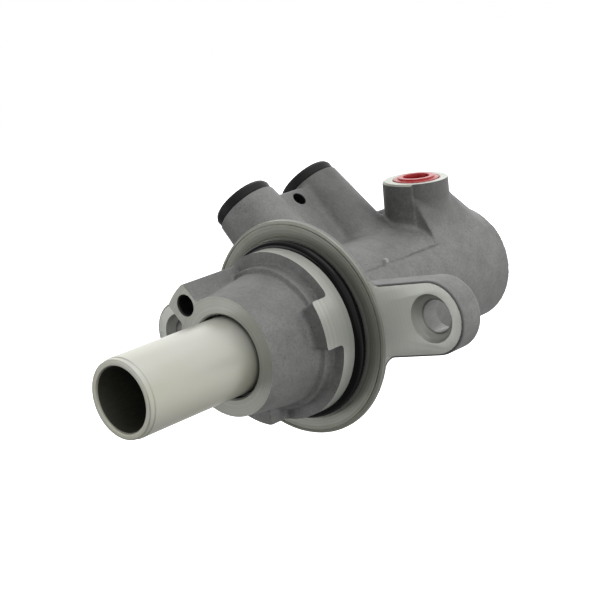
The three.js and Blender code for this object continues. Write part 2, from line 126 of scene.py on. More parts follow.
PORTS = {"front": 17.4, "rear": 48.5}  # y
PORT_TOP = 44.4
PORT_TOP_R = 10.4
PORT_BASE = 8.0
PORT_BASE_R = 13.0
PORT_SEAT_R = 8.3
PORT_SEAT_DEPTH = 9.0
PORT_BORE_R = 5.5
PORT_BORE_BOTTOM = 18.5
WEB_HALF = 6.0
WEB_TOP = 43.0
RIB_HALF = 4.5
RIB_TOP = 26.6
RIB_END_Y = 72.0
STRUT_FOOT = 6
PIN_HOLE_R = 2.2
PIN_HOLE_H = 38.9
PIN_HOLE_Y = 33.25

PARTING_Z = 11.75  # of the seam that the moulds leave along the barrel
NUB = (15.0, 29.8, 12.6)
NUB_R = 0.9
NUB_LENGTHENING = 0.3  # weight of the distance along the bore: below 1 makes the nub long

OUTLETS = {"rear": (81.0, 65.0), "front": (171.0, 26.0)}  # angle, y
OUTLET_TOP = 33.0
OUTLET_R = 10.5
BOSS_R = OUTLET_R + 0.25
BOSS_DRAFT = 0.015  # growth in radius for each mm towards the bore
BOSS_FOOT = 4
BOSS_STEP = 0.7  # how much fuller a boss is on one side of its parting plane
BOSS_PARTING = (0.87, 0.49)  # across that plane: sideways, along the bore
OUTLET_SEAT_R = 7.7
OUTLET_BORE_R = 6.2
OUTLET_BORE_BOTTOM = 20.5
PASSAGE_R = 1.6
PASSAGE_FOOT = 11

# Grooves of the bore, front to back: front y, back y, radius.
GROOVES = [
    (-27.5, -25.7, 14.6),
    (-25.1, -21.1, 13.95),
    (-19.6, -15.4, 15.6),
    (-14.2, -11.0, 14.4),
    (-9.8, -5.2, 15.6),
    (40.2, 44.4, 15.6),
    (46.8, 50.2, 14.4),
    (52.6, 57.2, 15.6),
]

TUBE_FLOOR_FRONT_Y = -20
TUBE_FLOOR_BACK_Y = -15
SOCKET_R = 9.6
POCKET_R = 9.2
SPRING_WIRE_R = 1.1
CIRCLIP_GAP = 28
CIRCLIP_GAP_MIDDLE = 276

ALLOWANCE = 1.2  # metal that the casting has over each machined face
SPARE = 3  # how far a cutter runs on past the metal
VOXEL = 0.5
SEGMENTS = 192

# ---------------- directions and meshes


def direction(angle):
    a = math.radians(angle)
    return Vector((math.cos(a), 0.0, math.sin(a)))


def spoke(angle, y):
    """Frame on the bore axis at y: its Y points out along the angle, its X along the bore."""
    along, out = Vector((0, 1, 0)), direction(angle)
    frame_of = Matrix((along, out, along.cross(out))).transposed().to_4x4()
    return Matrix.Translation((0, y, 0)) @ frame_of


def shift(x, y, z):
    return Matrix.Translation((x, y, z))


def rounded(corners, steps=5):
    """Rounds corners (a, b, radius) of a closed outline about that much; (a, b) stays sharp."""
    outline = []
    for i, corner in enumerate(corners):
        here = np.array(corner[:2], float)
        if len(corner) < 3 or corner[2] <= 0:
            outline.append(tuple(here))
            continue
        to_last = np.array(corners[i - 1][:2], float) - here
        to_next = np.array(corners[(i + 1) % len(corners)][:2], float) - here
        reach = min(np.linalg.norm(to_last), np.linalg.norm(to_next)) * 0.49
        to_last /= np.linalg.norm(to_last)
        to_next /= np.linalg.norm(to_next)
        half = math.acos(np.clip(to_last @ to_next, -1, 1)) / 2
        back = min(corner[2] / math.tan(half), reach)
        for k in range(steps + 1):
            t = k / steps
            a = here + to_last * back
            b = here + to_next * back
            outline.append(tuple(a * (1 - t) ** 2 + 2 * here * t * (1 - t) + b * t**2))
    return outline


def new_object(name, verts, faces, materials):
    mesh = bpy.data.meshes.new(name)
    mesh.from_pydata([tuple(v) for v in verts], [], faces)
    for material in materials:
        mesh.materials.append(material)
    obj = bpy.data.objects.new(name, mesh)
    bpy.context.scene.collection.objects.link(obj)
    return obj


def face_outwards(mesh):
    """Turns every face of a closed mesh to look out of it."""
    work = bmesh.new()
    work.from_mesh(mesh)
    bmesh.ops.recalc_face_normals(work, faces=work.faces)
    if work.calc_volume(signed=True) < 0:
        bmesh.ops.reverse_faces(work, faces=work.faces)
    work.to_mesh(mesh)
    work.free()


def smooth(obj, angle=32):
    """Smooth shading, but sharp edges where faces meet at more than the angle in degrees."""
    obj.data.shade_smooth()
    obj.data.set_sharp_from_angle(angle=math.radians(angle))


def turned(name, outline, material, place=None, segments=SEGMENTS):
    """Turns a closed outline of (radius, y) about Y, then puts it in place."""
    verts, faces, rings = [], [], []
    for r, y in outline:
        if abs(r) < 1e-6:
            rings.append([len(verts)] * segments)
            verts.append((0, y, 0))
            continue
        rings.append(list(range(len(verts), len(verts) + segments)))
        for k in range(segments):
            a = 2 * math.pi * k / segments
            verts.append((r * math.cos(a), y, r * math.sin(a)))
    for i, ring in enumerate(rings):
        follow = rings[(i + 1) % len(rings)]
        for k in range(segments):
            m = (k + 1) % segments
            corners = [ring[k], ring[m], follow[m], follow[k]]
            face = list(dict.fromkeys(corners))
            if len(face) > 2:
                faces.append(face)
    matrix = place or Matrix.Identity(4)
    verts = [(matrix @ Vector(v)) * MM for v in verts]
    obj = new_object(name, verts, faces, [material])
    face_outwards(obj.data)
    smooth(obj)
    return obj


# ---------------- materials


class Nodes:
    """A node tree that nodes are added to."""

    def __init__(self, tree, coordinates):
        self.tree = tree
        self.coords = self.node("ShaderNodeTexCoord").outputs[coordinates]

    def node(self, kind, inputs=None, **settings):
        """Adds a node with its settings, and a value or another node's socket for some inputs."""
        made = self.tree.nodes.new(kind)
        for key, value in settings.items():
            setattr(made, key, value)
        for key, value in (inputs or {}).items():
            self.link(value, made.inputs[key])
        return made

    def link(self, source, target):
        """Joins a socket to another, or sets a fixed value on it."""
        if isinstance(source, bpy.types.NodeSocket):
            self.tree.links.new(source, target)
        else:
            target.default_value = source

    def math(self, operation, a, b=0.0):
        return self.node("ShaderNodeMath", {0: a, 1: b}, operation=operation).outputs[0]

    def product(self, *values):
        total = values[0]
        for value in values[1:]:
            total = self.math("MULTIPLY", total, value)
        return total

    def vector(self, operation, a, b=(0, 0, 0), output=0):
        return self.node("ShaderNodeVectorMath", {0: a, 1: b}, operation=operation).outputs[output]

    def span(self, value, low, high, out_low=0.0, out_high=1.0, curve="LINEAR"):
        """Maps low..high to out_low..out_high, held at both ends."""
        return self.node("ShaderNodeMapRange", {
            "Value": value,
            "From Min": low,
            "From Max": high,
            "To Min": out_low,
            "To Max": out_high,
        }, interpolation_type=curve).outputs["Result"]


class Shading(Nodes):
    """A Principled material. Coordinates are the part's own, in metres."""

    def __init__(self, name, color, metallic, roughness, **values):
        self.material = bpy.data.materials.new(name)
        self.material.use_nodes = True
        super().__init__(self.material.node_tree, "Object")
        self.bsdf = self.tree.nodes["Principled BSDF"]
        self.bsdf.inputs["Base Color"].default_value = (*color, 1)
        self.bsdf.inputs["Metallic"].default_value = metallic
        self.bsdf.inputs["Roughness"].default_value = roughness
        for key, value in values.items():
            self.bsdf.inputs[key.replace("_", " ")].default_value = value
        self.height = None

    def noise(self, grain_mm, detail=3.0, roughness=0.55, stretch=None):
        """Noise with features of about grain_mm."""
        source = self.vector("MULTIPLY", self.coords, stretch) if stretch else self.coords
        return self.node("ShaderNodeTexNoise", {
            "Vector": source,
            "Scale": 1000.0 / (2 * grain_mm),
            "Detail": detail,
            "Roughness": roughness,
        }).outputs["Fac"]

    def rings(self, place, ring_mm):
        """Noise that only changes along one coordinate, with features of about ring_mm."""
        return self.node("ShaderNodeTexNoise", {
            "W": place,
            "Scale": 1000.0 / (2 * ring_mm),
            "Detail": 2.0,
        }, noise_dimensions="1D").outputs["Fac"]

    def axes(self):
        return self.node("ShaderNodeSeparateXYZ", {0: self.coords}).outputs

    def shade(self, color, amount):
        """Makes a colour lighter or darker."""
        gray = self.node("ShaderNodeCombineColor", {0: amount, 1: amount, 2: amount})
        return self.blend(1.0, color, gray.outputs[0], "MULTIPLY")

    def cells(self, size_mm):
        """Distance to the nearest of random points that lie about size_mm apart."""
        inputs = {"Vector": self.coords, "Scale": 1000.0 / size_mm}
        return self.node("ShaderNodeTexVoronoi", inputs).outputs["Distance"]

    def blend(self, factor, a, b, mode="MIX"):
        """Mixes two colours, each a tuple or a socket."""
        a, b = ((*c, 1) if isinstance(c, tuple) else c for c in (a, b))
        inputs = {"Factor": factor, "A": a, "B": b}
        made = self.node("ShaderNodeMix", inputs, data_type="RGBA", blend_type=mode)
        return made.outputs["Result"]

    def bump(self, height, depth_mm, strength=1.0):
        """Adds a height pattern of 0 to 1 that is depth_mm deep, on top of those before it."""
        inputs = {"Strength": strength, "Distance": depth_mm * MM, "Height": height}
        if self.height is not None:
            inputs["Normal"] = self.height
        self.height = self.node("ShaderNodeBump", inputs).outputs["Normal"]
        self.link(self.height, self.bsdf.inputs["Normal"])

    def set(self, name, value):
        self.link(value, self.bsdf.inputs[name])

    def turning(self, centre, axis):
        """Distance from an axis plus distance along it: even across a turned face and its rim."""
        offset = self.vector("SUBTRACT", self.coords, centre)
        along = self.vector("DOT_PRODUCT", offset, axis, output="Value")
        reach = self.vector("LENGTH", self.vector("CROSS_PRODUCT", offset, axis), output="Value")
        return self.math("ADD", along, reach)


def cast_skin(name, dark, light):
    """As-cast aluminium: sandy, mottled, a few pits, the moulds' parting line, painted shade and
    highlight.
    """
    s = Shading(name, light, 0.45, 0.6, Specular_IOR_Level=0.4)
    mottle = s.noise(3.0, detail=5, roughness=0.65)
    grain = s.noise(0.4, detail=3, roughness=0.75)
    fine = s.noise(0.14, detail=2)
    color = s.blend(s.span(mottle, 0.25, 0.75), dark, light)
    color = s.shade(color, s.span(grain, 0.3, 0.7, 0.78, 1.2))
    # Painted shade: the skin is darkened at the rear port, the boss and the nose's top.
    color = s.shade(color, s.math("SUBTRACT", 1.0, painted_shade(s)))
    pits = s.span(s.cells(2.6), 0.03, 0.09)
    color = s.blend(pits, tuple(c * 0.4 for c in dark), color)
    line = parting_line(s)
    # Dark colour of the parting seam; the painted shadow at the ears' front edges uses it too.
    seam_and_shadow_color = tuple(c * 0.3 for c in dark)
    color = s.blend(s.product(line, 0.42), color, seam_and_shadow_color)
    # Painted shadow: a dark line where each ear's cast side meets its machined face.
    color = s.blend(ear_edge_shadow(s), color, seam_and_shadow_color)
    # Painted highlight: a lighter spot on the end of the nub.
    color = s.blend(nub_highlight(s), color, (0.34, 0.34, 0.33))
    s.set("Base Color", color)
    s.set("Roughness", s.span(grain, 0.3, 0.7, 0.52, 0.72))
    s.bump(s.noise(1.6, detail=2), 0.05, 0.4)
    s.bump(grain, 0.07, 0.9)
    s.bump(fine, 0.03, 0.8)
    s.bump(s.math("SUBTRACT", 1.0, line), 0.1, 0.5)
    return s.material


def painted_shade(s):
    """Painted shade: how much darker the skin is made at the rear port and boss, and a little on
    the nose's top.
    """
    _, y, z = s.axes()
    rear = s.product(s.span(y, 25 * MM, 42 * MM), s.span(z, 15 * MM, 26 * MM, 0.0, 0.34))
    front = s.product(s.span(y, -9 * MM, -13 * MM), s.span(z, 6 * MM, 20 * MM, 0.0, 0.13))
    return s.math("ADD", rear, front)


def parting_line(s):
    """1 on the ragged seam that the moulds leave along the right of the barrel."""
    x, y, z = s.axes()
    ragged = s.product(s.math("SUBTRACT", s.noise(0.7, detail=3), 0.5), 0.9 * MM)
    off = s.math("ABSOLUTE", s.math("ADD", s.math("SUBTRACT", z, PARTING_Z * MM), ragged))
    from_nub = s.math("ABSOLUTE", s.math("SUBTRACT", y, NUB[1] * MM))
    return s.product(
        s.span(off, 0.05 * MM, 0.5 * MM, 1.0, 0.0),
        s.span(s.noise(2.5), 0.35, 0.55, 0.35, 1.0),
        s.span(y, 14 * MM, 22 * MM),
        s.span(y, 55 * MM, 58 * MM, 1.0, 0.0),
        s.span(from_nub, 1.2 * MM, 1.7 * MM),
        s.span(x, 8 * MM, 10 * MM),
    )


def nub_highlight(s):
    """1 on the painted highlight at the end of the nub on the parting line."""
    squares = []
    for along, centre in zip(s.axes(), NUB):
        gap = s.math("SUBTRACT", along, centre * MM)
        squares.append(s.product(gap, gap))
    total = s.math("ADD", s.math("ADD", squares[0], squares[1]), squares[2])
    return s.span(s.math("SQRT", total), 0.8 * MM, 1.1 * MM, 1.0, 0.0)


def ear_edge_shadow(s):
    """Above 0 on the painted shadow line where an ear's cast side meets its machined face."""
    x, y, _ = s.axes()
    line = s.span(y, (EAR_FRONT_Y + 0.2) * MM, (EAR_FRONT_Y + 0.7) * MM, 0.65, 0.0)
    return s.product(line, s.span(s.math("ABSOLUTE", x), DISC_R * MM, (DISC_R + 1) * MM))


def machined_skin(
    name, color, centre=(0, 0, 0), axis=(0, 1, 0), ring_mm=0.45, contrast=1.0, metallic=0.65
):
    """Turned aluminium: uneven fine rings about an axis, faint stains, bright and satin."""
    s = Shading(name, color, metallic, 0.34, Specular_IOR_Level=0.5)
    place = s.turning(tuple(c * MM for c in centre), axis)
    ring = s.rings(place, ring_mm)
    fine = s.rings(place, ring_mm * 0.35)
    stain = s.span(s.noise(5.0, detail=4), 0.3, 0.7)
    tone = s.product(s.span(ring, 0.3, 0.7), 0.6)
    tone = s.math("ADD", tone, s.product(stain, 0.4))
    worn = [c * (1 - share * contrast) for c, share in zip(color, (0.28, 0.28, 0.36))]
    s.set("Base Color", s.blend(tone, tuple(worn), color))
    s.set("Roughness", s.span(tone, 0, 1, 0.45, 0.32))
    s.bump(ring, 0.03 * contrast, 0.7)
    s.bump(fine, 0.01, 0.8)
    s.bump(s.noise(0.3, detail=2), 0.01, 0.6)
    return s.material


def bore_skin(name, color):
    """Honed bore and drilled holes: dark, oily, with cross scratches."""
    s = Shading(name, color, 0.8, 0.4)
    scratch = s.noise(0.3, detail=2, stretch=(1, 0.15, 1))
    s.set("Base Color", s.blend(scratch, tuple(c * 0.6 for c in color), color))
    s.bump(scratch, 0.01, 0.5)
    return s.material


def anodised_skin(name, color):
    """Satin anodised tube: barely visible rings round it and a faint warm cast."""
    s = Shading(name, color, 0.45, 0.38, Specular_IOR_Level=0.5)
    place = s.turning((0, 0, 0), (0, 1, 0))
    ring = s.span(s.math("SINE", s.product(place, 2 * math.pi / (0.25 * MM))), -1, 1)
    cloud = s.noise(9.0, detail=3, stretch=(1, 0.45, 1))
    warm = (color[0] * 0.91, color[1] * 0.91, color[2] * 0.8)
    s.set("Base Color", s.blend(s.span(cloud, 0.35, 0.7), warm, color))
    s.set("Roughness", s.span(cloud, 0.3, 0.7, 0.33, 0.43))
    s.bump(ring, 0.004, 0.5)
    s.bump(s.noise(0.35, detail=2), 0.004, 0.5)
    return s.material


def rubber_skin(name, color, roughness, dust_tone=0.01, depth_mm=0.02, specular=0.35):
    """Moulded rubber: matt patches of dust, a fine uneven skin."""
    s = Shading(name, color, 0.0, roughness, Specular_IOR_Level=specular)
    dust = s.span(s.noise(3.0, detail=4), 0.45, 0.75)
    dusty = tuple(c + dust_tone for c in color)
    s.set("Base Color", s.blend(dust, color, dusty))
    s.set("Roughness", s.span(dust, 0, 1, roughness, roughness + 0.12))
    s.bump(s.noise(0.5, detail=3), depth_mm, 0.6)
    return s.material


def plug_skin(name, color):
    """Soft moulded plastic, a little see-through at its edges."""
    s = Shading(name, color, 0.0, 0.36, Subsurface_Weight=0.12, Subsurface_Scale=0.002)
    s.bsdf.inputs["Subsurface Radius"].default_value = (1.0, 0.25, 0.2)
    cloud = s.noise(2.0, detail=2)
    s.set("Base Color", s.blend(cloud, tuple(c * 0.8 for c in color), color))
    s.bump(s.noise(0.8, detail=2), 0.02, 0.4)
    return s.material


def steel_skin(name, color):
    """Bright steel with fine streaks."""
    s = Shading(name, color, 0.95, 0.32)
    streak = s.noise(0.3, detail=2, stretch=(1, 0.2, 1))
    s.set("Base Color", s.blend(streak, tuple(c * 0.8 for c in color), color))
    s.set("Roughness", s.span(streak, 0.3, 0.7, 0.26, 0.4))
    s.bump(streak, 0.006, 0.5)
    return s.material


def nylon_skin(name, color):
    """Moulded nylon, a little see-through, with a fine uneven skin."""
    s = Shading(name, color, 0.0, 0.45, Subsurface_Weight=0.1, Subsurface_Scale=0.001)
    s.bump(s.noise(0.6, detail=2), 0.01, 0.5)
    return s.material


CAST = cast_skin("cast_aluminium_skin", (0.165, 0.165, 0.162), (0.235, 0.235, 0.23))
TURNED = machined_skin("turned_aluminium", (0.45, 0.46, 0.43), contrast=0.6, metallic=0.4)
NOSE_FACE = machined_skin("turned_nose_face", (0.42, 0.424, 0.395), contrast=0.7, metallic=0.3)
FLANGE_FACE = machined_skin("turned_flange_face", (0.26, 0.265, 0.235), ring_mm=0.4, metallic=0.3)
EAR_FACE = machined_skin(
    "turned_ear_face", (0.58, 0.59, 0.56), ring_mm=0.15, contrast=0.6, metallic=0.4
)
BORE = bore_skin("honed_bore", (0.05, 0.05, 0.05))
DRILLED = bore_skin("drilled_hole", (0.23, 0.23, 0.22))
PISTON = anodised_skin("anodised_tube", (0.48, 0.48, 0.45))
SOCKET = bore_skin("socket_wall", (0.13, 0.13, 0.105))
O_RING = rubber_skin(
    "o_ring_rubber_skin",
    (0.002, 0.002, 0.0025),
    0.1,
    dust_tone=0.001,
    depth_mm=0.003,
    specular=0.2,
)
GROMMET = rubber_skin(
    "grommet_rubber_skin", (0.005, 0.0055, 0.005), 0.5, dust_tone=0.004, specular=0.25
)
SEAL = rubber_skin("seal_rubber_skin", (0.015, 0.015, 0.016), 0.4)
PLUG = plug_skin("red_plug_plastic", (0.4, 0.008, 0.012))
STEEL = steel_skin("bright_steel_skin", (0.55, 0.55, 0.55))
# Dark spring steel; on the circlip its darkness also stands in for the shade in the gap round the
# tube.
WIRE = steel_skin("spring_wire", (0.2, 0.2, 0.21))
NYLON = nylon_skin("natural_nylon", (0.72, 0.68, 0.58))

# ---------------- the casting as a field


class Field:
    """Distance to a shape's surface in mm, negative inside, on a box of evenly spaced points."""

    LOW = (-66.0, -35.0, -37.0)
    HIGH = (66.0, 89.0, 49.0)
    TABLE_R = 80  # how far out, and how finely, outlines are tabled before they are turned
    TABLE_STEP = 0.1

    def __init__(self, step):
        self.step = step
        axes = [
            np.arange(low, high + step, step, dtype=np.float32)
            for low, high in zip(self.LOW, self.HIGH)
        ]
        self.y_values = axes[1]
        self.x = axes[0][:, None, None]
        self.y = axes[1][None, :, None]
        self.z = axes[2][None, None, :]
        self.rho = np.hypot(self.x, self.z)

    def spoke(self, angle, y):
        """Three distances from a point on the bore axis: along it, out at the angle, sideways."""
        out = direction(angle)
        t = self.y - y
        h = self.x * out.x + self.z * out.z
        s = self.x * out.z - self.z * out.x
        return t, h, s

    def turned(self, outline):
        """Distance to an outline of (radius, y) turned about the bore axis."""
        radii = np.arange(0, self.TABLE_R, self.TABLE_STEP, dtype=np.float32)
        table = outline_distance(outline, radii[:, None], self.y_values[None, :])
        place = self.rho[:, 0, :] / self.TABLE_STEP
        low = np.minimum(place.astype(np.int32), len(radii) - 2)
        part = (place - low)[..., None]
        sampled = table[low] * (1 - part) + table[low + 1] * part
        return sampled.transpose(0, 2, 1)

    def surface(self, values):
        """Surface nets: a point in each cell that the surface crosses, a quad on each cut edge."""
        inside = values < 0
        corners = [(i, j, k) for i in (0, 1) for j in (0, 1) for k in (0, 1)]
        nx, ny, nz = (n - 1 for n in values.shape)
        count = np.zeros((nx, ny, nz), np.int8)
        for i, j, k in corners:
            count += inside[i : i + nx, j : j + ny, k : k + nz]
        crossed = (count > 0) & (count < 8)
        cells = np.argwhere(crossed)
        index = np.full(crossed.shape, -1, np.int64)
        index[crossed] = np.arange(len(cells))
        at = {c: values[tuple((cells + c).T)] for c in corners}
        total = np.zeros((len(cells), 3))
        hits = np.zeros(len(cells))
        for a in corners:
            for axis in range(3):
                if a[axis]:
                    continue
                b = tuple(1 if n == axis else a[n] for n in range(3))
                cut = (at[a] < 0) != (at[b] < 0)
                gap = np.where(cut, at[a] - at[b], 1)
                point = np.tile(np.array(a, float), (len(cells), 1))
                point[:, axis] += np.where(cut, at[a] / gap, 0)
                total += point * cut[:, None]
                hits += cut
        verts = (cells + total / hits[:, None]) * self.step + np.array(self.LOW)
        faces = [quads_across(inside, index, axis) for axis in range(3)]
        return verts, np.concatenate(faces)


def quads_across(inside, index, axis):
    """The quads round each grid edge along an axis that the surface crosses, facing out."""
    solid = np.moveaxis(inside, (axis, (axis + 1) % 3, (axis + 2) % 3), (0, 1, 2))
    cell = np.moveaxis(index, (axis, (axis + 1) % 3, (axis + 2) % 3), (0, 1, 2))
    start, end = solid[:-1, 1:-1, 1:-1], solid[1:, 1:-1, 1:-1]
    i, j, k = np.nonzero(start != end)
    around = [(0, 0), (1, 0), (1, 1), (0, 1)]
    quads = np.stack([cell[i, j + dj, k + dk] for dj, dk in around], axis=1)
    leaving = start[i, j, k]
    quads[~leaving] = quads[~leaving][:, ::-1]
    return quads


def outline_distance(outline, px, py):
    """Signed distance from points to a closed outline, negative inside it."""
    nearest = np.full(np.broadcast(px, py).shape, np.inf, np.float32)
    inside = np.zeros(nearest.shape, bool)
    for (ax, ay), (bx, by) in zip(outline, outline[1:] + outline[:1]):
        ex, ey = bx - ax, by - ay
        length = ex * ex + ey * ey
        if length < 1e-12:
            continue
        wx, wy = px - ax, py - ay
        t = np.clip((wx * ex + wy * ey) / length, 0, 1)
        nearest = np.minimum(nearest, np.hypot(wx - ex * t, wy - ey * t))
        if ey:
            rises = (ay > py) != (by > py)
            inside ^= rises & (px < ex * (py - ay) / ey + ax)
    return np.where(inside, -nearest, nearest).astype(np.float32)


def fillet(a, b, radius):
    """Joins two fields with a fillet of that radius between them."""
    near = np.hypot(np.maximum(radius - a, 0), np.maximum(radius - b, 0))
    return np.maximum(radius, np.minimum(a, b)) - near


def common(distances, radius):
    """What is inside all the fields, with its edges rounded."""
    deepest, spread = None, 0.0
    for d in distances:
        d = d + radius
        deepest = d if deepest is None else np.maximum(deepest, d)
        spread = spread + np.square(np.maximum(d, 0))
    return np.minimum(deepest, 0) + np.sqrt(spread) - radius


def core_outline():
    """Nose, spigot, flange disc and barrel, with metal to spare on the machined faces."""
    return rounded([
        (0, NOSE_Y - ALLOWANCE),
        (NOSE_FRONT_R - 0.2, NOSE_Y - ALLOWANCE),
        (NOSE_BACK_R - 0.1, -13.2, 0.6),
        (LEDGE_R, LEDGE_Y, 0.5),
        (LEDGE_R + 0.2, SPIGOT_FRONT_Y, 0.3),
        (SPIGOT_R + ALLOWANCE, SPIGOT_FRONT_Y, 0.3),
        (SPIGOT_R + ALLOWANCE, -ALLOWANCE),
        (DISC_R, -ALLOWANCE),
        (DISC_R, 1.9, 0.6),
        (DISC_R - 1.5, 2.9, 1),
        (28.0, 5.4, 3),
        (22.5, 8.4, 4),
        (BARREL_R, 13.0, 5),
        (BARREL_R, REAR_Y, 0.8),
        (0, REAR_Y),
    ])


def add_lands(f, body):
    """The full-radius sectors between the nose's cast pockets."""
    for start, end in LANDS:
        a, b = direction(start), direction(end)
        land = common([
            f.x * a.z - f.z * a.x,
            f.z * b.x - f.x * b.z,
            f.rho - (SPIGOT_R + ALLOWANCE),
            LAND_FOOT - f.rho,
            LAND_FRONT_Y - f.y,
            f.y - (SPIGOT_FRONT_Y + 2),
        ], 0.5)
        body = fillet(body, land, 1.4)
    return body


def add_lobe(f, body):
    """The ridge along the nose that carries the feed channel."""
    _, h, s = f.spoke(PORT_ANGLE, 0)
    middle, half = sum(LOBE_SIDES) / 2, (LOBE_SIDES[1] - LOBE_SIDES[0]) / 2
    lobe = common([
        np.abs(s - middle) - half,
        f.rho - LOBE_R,
        LOBE_FOOT - h,
        NOSE_Y - ALLOWANCE - f.y,
        f.y - (SPIGOT_FRONT_Y + 2),
    ], 0.6)
    return fillet(body, lobe, 0.5)


def ear_bar(f):
    """Both ears as one bar with round ends."""
    outline = np.hypot(np.maximum(np.abs(f.x) - EAR_DISTANCE, 0), f.z) - EAR_R
    middle = (EAR_CAST_FRONT_Y + EAR_BACK_Y) / 2
    half = (EAR_BACK_Y - EAR_CAST_FRONT_Y) / 2
    return common([outline, np.abs(f.y - middle) - half], 0.9)


def port_field(f, y):
    """Reservoir port: a post that narrows towards its top."""
    t, h, s = f.spoke(PORT_ANGLE, y)
    slope = (PORT_BASE_R - PORT_TOP_R) / (PORT_TOP - PORT_BASE)
    radius = PORT_TOP_R + slope * (PORT_TOP - h)
    return common([np.hypot(t, s) - radius, h - PORT_TOP - ALLOWANCE, STRUT_FOOT - h], 0.5)


def web_field(f, from_y, to_y, top, half):
    """Wall along the bore between two points, at the ports' angle."""
    t, h, s = f.spoke(PORT_ANGLE, (from_y + to_y) / 2)
    return common([
        np.abs(t) - (to_y - from_y) / 2,
        np.abs(s) - half,
        h - top,
        STRUT_FOOT - h,
    ], 1.0)


def outlet_field(f, angle, y):
    """Outlet boss, a little fuller on one side of its parting plane."""
    t, h, s = f.spoke(angle, y)
    reach = np.hypot(t, s)
    radius = BOSS_R + BOSS_DRAFT * (OUTLET_TOP - h)
    ends = [h - OUTLET_TOP - ALLOWANCE, BOSS_FOOT - h]
    half = BOSS_PARTING[0] * s + BOSS_PARTING[1] * t
    lean = common([reach - radius + BOSS_STEP / 2, *ends], 0.4)
    full = common([reach - radius - BOSS_STEP / 2, *ends, half], 0.1)
    return np.minimum(lean, full)


# Sections of the gusset under the right outlet boss: y, then its corners (x, z).
GUSSET_SECTIONS = [
    (56.0, [(1, 26), (9.9, 26.2), (11.2, 22), (13.9, 17), (15.6, 12), (0, 8), (-10, 12)]),
    (74.5, [(0, 27), (9.6, 26.2), (12.8, 21.5), (15.4, 15.5), (17.2, 9), (0, 8), (-10, 12)]),
    (84.9, [(-6, 17.9), (7.6, 17.6), (13.2, 13.6), (16.4, 9), (0, 8), (-10, 14)]),
]


def gusset_field(f):
    """The hull of the gusset's sections, as the deepest of its flat sides."""
    work = bmesh.new()
    for y, outline in GUSSET_SECTIONS:
        for x, z in outline:
            work.verts.new((x, y, z))
    bmesh.ops.convex_hull(work, input=work.verts)
    bmesh.ops.recalc_face_normals(work, faces=work.faces)
    sides = []
    for face in work.faces:
        n, d = face.normal, face.normal.dot(face.verts[0].co)
        if not any(n.dot(m) > 0.9999 for m, _ in sides):
            sides.append((n.copy(), d))
    work.free()
    deepest = None
    for n, d in sides:
        side = f.x * n.x + f.y * n.y + f.z * n.z - d
        deepest = side if deepest is None else -fillet(-deepest, -side, 0.35)
    return deepest


def skirt_field(f):
    """The barrel's slightly fuller lower part, up to a step beside the gusset."""
    ends = np.maximum(8 - f.y, f.y - (REAR_Y - 0.5))
    return np.maximum(np.maximum(f.rho - SKIRT_R, f.z - SKIRT_TOP_Z), ends)


def nub_field(f):
    """Nub left on the parting line by the mould, a little long along the bore."""
    x, y, z = NUB
    return np.sqrt((f.x - x) ** 2 + (f.y - y) ** 2 * NUB_LENGTHENING + (f.z - z) ** 2) - NUB_R


def casting_field(f):
    body = f.turned(core_outline())
    body = add_lands(f, body)
    body = add_lobe(f, body)
    body = fillet(body, ear_bar(f), 3.0)
    body = np.minimum(body, skirt_field(f))
    ports = np.minimum(port_field(f, PORTS["front"]), port_field(f, PORTS["rear"]))
    web = web_field(f, PORTS["front"], PORTS["rear"], WEB_TOP, WEB_HALF)
    ports = fillet(ports, web, 1.3)
    ports = fillet(ports, web_field(f, PORTS["rear"], RIB_END_Y, RIB_TOP, RIB_HALF), 1.5)
    body = fillet(body, ports, 2.2)
    body = fillet(body, gusset_field(f), 1.2)
    for angle, y in OUTLETS.values():
        body = fillet(body, outlet_field(f, angle, y), 2.2)
    return fillet(body, nub_field(f), 0.5)


# ---------------- cutting the machined faces


def cut_all(body, cutters):
    """Cuts all the cutters out of the body; each leaves its own materials on the cut faces."""
    for cutter in cutters:
        modifier = body.modifiers.new("cut", "BOOLEAN")
        modifier.operation = "DIFFERENCE"
        modifier.solver = "MANIFOLD"
        modifier.material_mode = "TRANSFER"
        modifier.object = cutter
    bpy.context.view_layer.update()
    depsgraph = bpy.context.evaluated_depsgraph_get()
    result = bpy.data.meshes.new_from_object(body.evaluated_get(depsgraph))
    body.modifiers.clear()
    body.data = result
    for cutter in cutters:
        bpy.data.objects.remove(cutter)


def reach_mm(face, centre_x=0.0):
    """Distance of a face's middle from an axis along Y, in mm."""
    return math.hypot(face.center.x - centre_x * MM, face.center.z) / MM


def flange_cutter():
    """Turns the spigot, the O-ring groove, the flange face and both ears' front faces."""
    front, side = LAND_FRONT_Y - SPARE, 80
    outline = [
        (SPIGOT_R, front),
        (SPIGOT_R, GROOVE_FRONT_Y - 0.3),
        (SPIGOT_R - 0.3, GROOVE_FRONT_Y),
        (GROOVE_R, GROOVE_FRONT_Y),
        (GROOVE_R, O_RING_SEAT_DEPTH),
        (O_RING_SEAT_R, O_RING_SEAT_DEPTH),
        (O_RING_SEAT_R + 0.4, 0),
        (DISC_FACE_R - 0.3, 0),
        (DISC_FACE_R - 0.25, RIM_GROOVE_DEPTH),
        (DISC_FACE_R, RIM_GROOVE_DEPTH),
        (DISC_FACE_R + 0.1, 0.1),
        (DISC_R - 0.25, 0.2),
        (DISC_R, EAR_FRONT_Y),
        (side, EAR_FRONT_Y),
        (side, front),
    ]
    cutter = turned("flange_cutter", outline, TURNED)
    for skin in (FLANGE_FACE, EAR_FACE):
        cutter.data.materials.append(skin)
    for face in cutter.data.polygons:
        face.material_index = (reach_mm(face) > O_RING_SEAT_R) + (reach_mm(face) > DISC_R)
    return cutter


